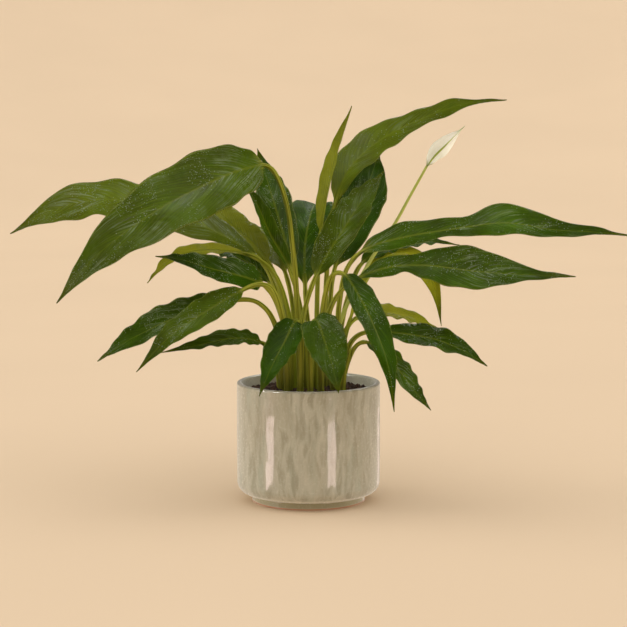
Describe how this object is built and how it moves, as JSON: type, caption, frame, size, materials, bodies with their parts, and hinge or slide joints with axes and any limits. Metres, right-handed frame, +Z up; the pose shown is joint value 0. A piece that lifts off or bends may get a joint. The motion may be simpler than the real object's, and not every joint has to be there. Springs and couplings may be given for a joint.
{
  "type": "potted peace lily",
  "caption": "Leafy peace lily with arching glossy leaves and a white flower, in a round glazed pot on a recessed foot.",
  "frame": {"origin": "centre of the pot's foot, on the surface that the pot stands on", "axes": "+Z up, +X to the right across the widest spread of the leaves, -Y towards the viewer"},
  "size_m": [0.6212, 0.3257, 0.4027],
  "materials": {
    "glaze": "gloss",
    "soil": "matte",
    "leaf": "satin",
    "light_leaf": "satin",
    "flower_stalk": "satin",
    "spathe": "satin",
    "spadix": "matte"
  },
  "bodies": {
    "root": {"pot": "glaze", "soil": "soil", "leaf_left_large": "leaf", "leaf_left_back": "leaf", "leaf_left_hidden": "leaf", "leaf_back_left": "leaf", "leaf_left_narrow": "leaf", "leaf_upper_left": "leaf", "leaf_back_centre": "leaf", "leaf_spear": "leaf", "leaf_upper_right": "leaf", "leaf_right_broad": "leaf", "leaf_right_inner": "leaf", "leaf_right_long": "leaf", "leaf_right_second": "leaf", "leaf_right_small": "leaf", "leaf_right_arching": "light_leaf", "leaf_right_droop": "leaf", "leaf_right_low_droop": "leaf", "leaf_right_low": "leaf", "leaf_right_light": "light_leaf", "leaf_front_left_droop": "leaf", "leaf_front_right_droop": "leaf", "leaf_left_middle": "leaf", "leaf_left_low_front": "leaf", "leaf_left_low_back": "leaf", "leaf_left_lowest": "leaf", "leaf_left_light": "light_leaf", "leaf_back_left_low": "leaf", "flower_stalk": "flower_stalk", "spathe": "spathe", "spadix": "spadix"}
  },
  "joints": []
}
